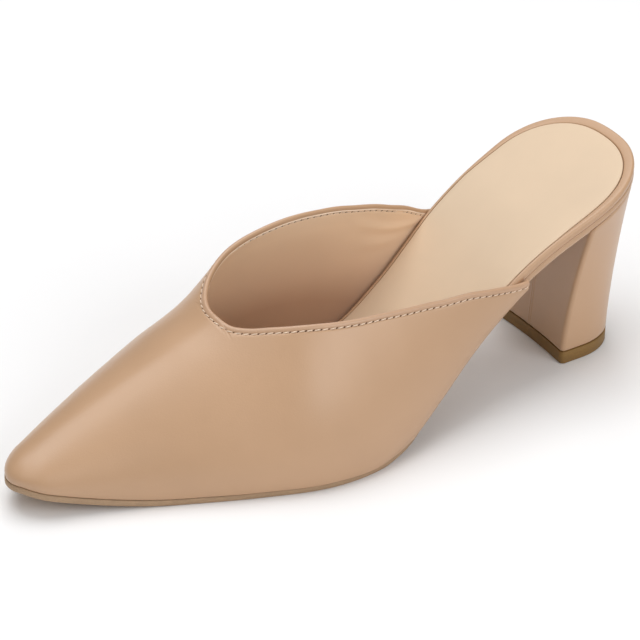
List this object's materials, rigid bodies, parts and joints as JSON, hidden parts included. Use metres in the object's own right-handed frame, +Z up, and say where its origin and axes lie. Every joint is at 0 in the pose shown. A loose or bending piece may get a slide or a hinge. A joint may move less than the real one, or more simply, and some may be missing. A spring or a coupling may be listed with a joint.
{
  "type": "block heel mule",
  "caption": "Pointed slip-on mule for the left foot with a V cut vamp, an open back and a covered block heel.",
  "frame": {"origin": "middle of the top lift's flat bottom, on the floor", "axes": "+X from the heel to the toe, +Y to the outer side of the foot, +Z up"},
  "size_m": [0.2485, 0.0865, 0.0769],
  "materials": {
    "upper": "smooth satin, tan",
    "footbed": "smooth satin wrap, tan",
    "sock": "matte, cream",
    "outsole": "matte, light brown",
    "heel": "smooth satin cover, tan",
    "top_lift": "matte, brown"
  },
  "bodies": {
    "root": {"upper": "upper", "footbed": "footbed", "sock": "sock", "outsole": "outsole", "heel": "heel", "top_lift": "top_lift"}
  },
  "joints": []
}
